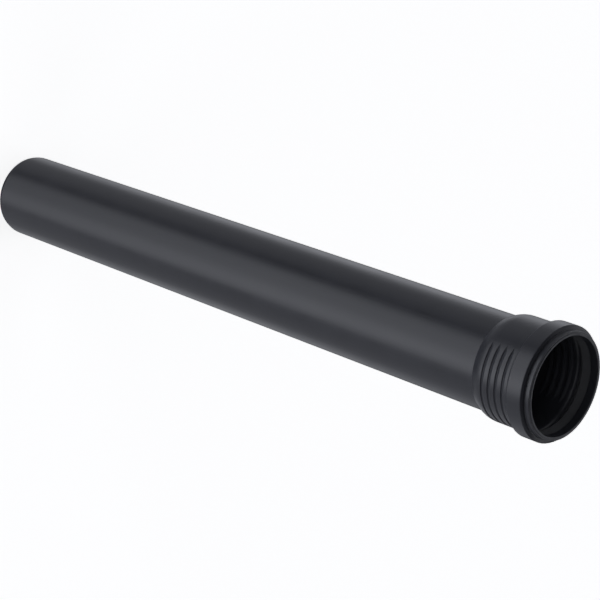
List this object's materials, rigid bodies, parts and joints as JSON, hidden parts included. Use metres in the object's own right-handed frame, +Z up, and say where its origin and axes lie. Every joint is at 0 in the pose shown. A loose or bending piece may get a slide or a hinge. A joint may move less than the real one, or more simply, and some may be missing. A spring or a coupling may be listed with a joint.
{
  "type": "soil pipe",
  "caption": "Straight dark plastic soil pipe with a chamfered spigot end and a grooved push-fit socket that holds a rubber lip seal.",
  "frame": {"origin": "middle of the spigot's end face, on the pipe's axis, which the pipe stands on", "axes": "+Z up along the pipe's axis, from the spigot end to the socket's mouth"},
  "size_m": [0.1312, 0.1312, 0.941],
  "materials": {
    "pipe": "matte",
    "lip_seal": "matte"
  },
  "bodies": {
    "root": {"pipe": "pipe", "lip_seal": "lip_seal"}
  },
  "joints": []
}
